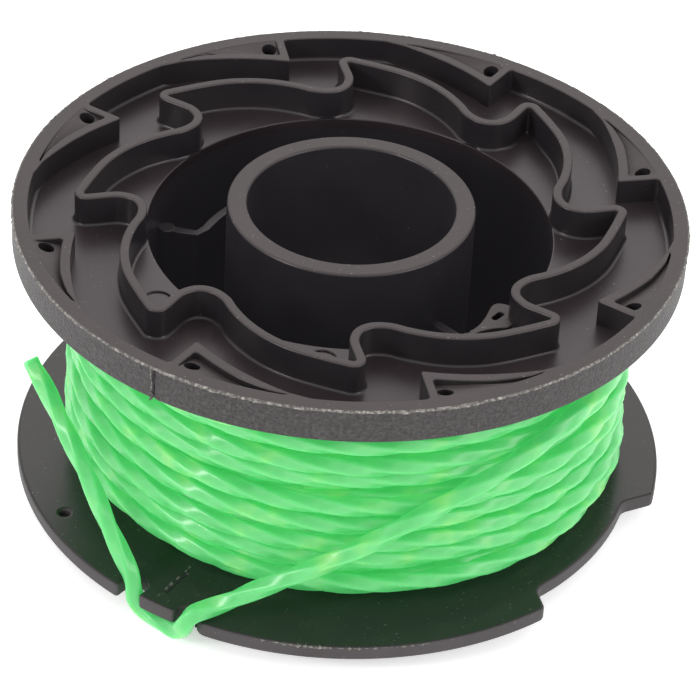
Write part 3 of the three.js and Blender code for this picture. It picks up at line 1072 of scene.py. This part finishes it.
def add_pocket_floors():
    """The floors of the tooth pockets, which slope down from the rim, each with an ejector pin's hole."""
    for tooth in range(LOBES):
        outline = pocket_outline(tooth, inner=0.4 * MM, outer=POCKET_FLOOR_REACH)
        tip = tip_angle(tooth)
        hole = circle(PIN_HOLE_RADIUS, 32) + polar(PIN_HOLE_PLACE, tip + PIN_HOLE_ANGLE)
        levels = edge_levels(TRAY_FLOOR - ROOT, RIM_TOP, 0, POCKET_FLOOR_EDGE)
        vertices, faces = slab_faces(outline, [hole], levels)
        sloped = []
        for x, y, z in vertices:
            degrees = (math.degrees(math.atan2(y, x)) - tip) % 360
            near = pocket_edge(min(degrees, POCKET_ANGLES[1]) if degrees < 180 else 0)
            far = POCKET_OUTER_RADIUS + POCKET_FLOOR_REACH
            across = min(1, max(0, (math.hypot(x, y) - near) / (far - near)))
            drop = POCKET_DEPTH * (1 - across) if z > TRAY_FLOOR else 0
            sloped.append((x, y, z - drop + POCKET_FLOOR_RISE))
        floor = add_piece(f"pocket_floor_{tooth + 1}", sloped, faces, SATIN)
        finish_tops(floor, TRAY_FLOOR, SCUFFED)
        even_shading(floor)
        part_of_spool(floor)


def wall_profile():
    """Half of the cam wall's section, from its foot up: (distance from the centre line, height)."""
    half = CAM_WALL / 2
    profile = [(half + CAM_FILLET, TRAY_FLOOR - CAM_ROOT)]
    profile += [(half + out, TRAY_FLOOR + up) for up, out in quarter_turn(CAM_FILLET, 5)]
    return profile + [(half - inset, CAM_TOP - down) for inset, down in quarter_turn(CAM_EDGE, 5)]


def add_cam_wall():
    """One endless wavy wall, swept along eight lobes."""
    places = [polar(r * MM, degrees + lobe * LOBE_PITCH) for lobe in range(LOBES) for degrees, r in CAM_LINE]
    line = smooth_closed(places, 5)
    left = left_of(np.roll(line, -1, axis=0) - np.roll(line, 1, axis=0))
    half = wall_profile()
    profile = half + [(-distance, height) for distance, height in reversed(half)]
    vertices = []
    for point, side in zip(line, left):
        for distance, height in profile:
            x, y = point + side * distance
            # The foot stops at the well's edge
            push = max(1, (WELL_RADIUS + 0.03 * MM) / math.hypot(x, y))
            vertices.append((x * push, y * push, height))
    wall = add_piece("cam_wall", vertices, ring_faces(len(line), len(profile)), SATIN)
    finish_tops(wall, (TRAY_FLOOR + CAM_TOP) / 2, SCUFFED)
    even_shading(wall)
    part_of_spool(wall, *[f"cam_lobe_{lobe + 1}" for lobe in range(LOBES)])


def strip_outline(points, thickness):
    """The plan of a rib of even thickness along a line of points."""
    points = np.array(points)
    left = left_of(np.gradient(points, axis=0)) * thickness / 2
    return np.concatenate([points + left, (points - left)[::-1]])


def add_ribs():
    """The straight rib across the well, and the anchor that holds the line's inner end."""
    def well_piece(name, outline, top, *nodes):
        part_of_spool(slab(name, outline, FLANGE_TOP - ROOT, top, WELL, top_edge=RIB_EDGE), *nodes)

    ends = [polar(radius, STRAIGHT_RIB_ANGLE) for radius in (HUB_RADIUS - ROOT, WELL_RADIUS + ROOT)]
    well_piece("straight_rib", strip_outline(ends, RIB_THICKNESS), RIB_TOP, "well_rib")
    bend = [polar(WELL_RADIUS + ROOT, ANCHOR_ANGLE), polar(18.6 * MM, ANCHOR_ANGLE),
            polar(16.9 * MM, ANCHOR_ANGLE - 0.8)]
    bend += arc(ANCHOR_ARC_RADIUS, ANCHOR_ANGLE - 5, ANCHOR_ARC_END, 3)
    well_piece("line_anchor_rib", strip_outline(bend, RIB_THICKNESS), RIB_TOP, "line_anchor")
    post = circle(ANCHOR_POST_RADIUS, 32) + polar(WELL_RADIUS - ANCHOR_POST_RADIUS, ANCHOR_ANGLE)
    well_piece("line_anchor_post", post, RIB_TOP + 2 * HAIR)


def bursts(random, count, blur, power):
    """Random values from 0 to 1, in bursts about as long as the blur, whose ends join."""
    kernel = np.ones(blur) / blur
    values = random.random(count) ** power
    endless = np.concatenate([values[-blur:], values, values[:blur]])
    values = np.convolve(endless, kernel, mode="same")[blur:-blur]
    return (values - values.min()) / (values.max() - values.min())


def add_rim_flash():
    """The ragged flash along the rim's top outer edge, thin in some places and torn in others."""
    random = np.random.default_rng(FLASH_SEED)

    def along_rim(blur, power):
        return bursts(random, FLASH_STEPS, blur, power)

    angles = np.arange(FLASH_STEPS) * 2 * math.pi / FLASH_STEPS
    # From a quarter to all of the flash, in long stretches
    presence = 0.25 + 0.75 * np.clip(along_rim(120, 1) * 2.2 - 0.6, 0, 1)
    sag = FLASH_SAG * along_rim(45, 1)
    drop = 2 * HAIR + sag + FLASH_DROP * presence * along_rim(5, 3)
    out = HAIR + FLASH_OUT * presence * along_rim(4, 2)
    rise = FLASH_RISE * presence * along_rim(4, 4)
    # A few larger torn bits
    tufts = FLASH_TUFT * np.clip(along_rim(7, 5) - FLASH_TUFT_LIMIT, 0, 1) * along_rim(3, 1)
    drop += tufts
    out += tufts / 4
    rise += tufts / 2
    vertices = []
    for angle, fall, lip, lift in zip(angles, drop, out, rise):
        section = [
            (RIM_RADIUS - 0.18 * MM, RIM_TOP - 0.02 * MM),
            (RIM_RADIUS - 0.07 * MM, RIM_TOP + lift),
            (RIM_RADIUS + lip * 0.6, RIM_TOP - 0.06 * MM + lift),
            (RIM_RADIUS + lip, RIM_TOP - 0.12 * MM - fall / 2),
            (RIM_RADIUS - 0.04 * MM, RIM_TOP - 0.16 * MM - fall),
        ]
        vertices += [(r * math.cos(angle), r * math.sin(angle), z) for r, z in section]
    part_of_spool(add_piece("rim_flash", vertices, ring_faces(len(angles), len(section)), TORN))


# ---- surroundings

def add_floor():
    mesh = bpy.data.meshes.new("floor")
    half = 3.0
    mesh.from_pydata([(x * half, y * half, 0) for x, y in SQUARE], [], [(0, 1, 2, 3)])
    material, _, shader = new_material("pale_floor")
    set_sockets(shader, {"Base Color": (0.95, 0.95, 0.95, 1), "Roughness": 0.9})
    glow(shader, (1, 1, 1), 0.45)
    mesh.materials.append(material)
    add_object("floor", mesh)


def add_light(name, place, size, power):
    """A square soft box that faces the spool."""
    data = bpy.data.lights.new(name, "AREA")
    data.size = size
    data.energy = power
    light = add_object(name, data)
    light.location = place
    light.rotation_euler = (LIGHT_TARGET - Vector(place)).to_track_quat("-Z", "Y").to_euler()


def add_studio():
    add_floor()
    world = bpy.data.worlds.new("studio")
    world.use_nodes = True
    set_sockets(world.node_tree.nodes["Background"], {"Color": (1, 1, 1, 1), "Strength": 1.0})
    bpy.context.scene.world = world
    add_light("key", (-0.5, -0.32, 0.33), 0.14, 1.4)
    add_light("fill", (0.55, -0.3, 0.34), 0.35, 1.3)
    add_light("back", (0, 0.6, 0.46), 0.6, 1.0)
    bpy.context.scene.view_settings.view_transform = "Standard"


add_camera()
add_line()
add_hub()
add_lower_flange()
add_parting_marks()
add_edge_wear()
add_drum()
add_tray_floor()
add_tray_fillet()
add_tongue()
add_rim()
add_pocket_floors()
add_cam_wall()
add_ribs()
add_rim_flash()
add_studio()
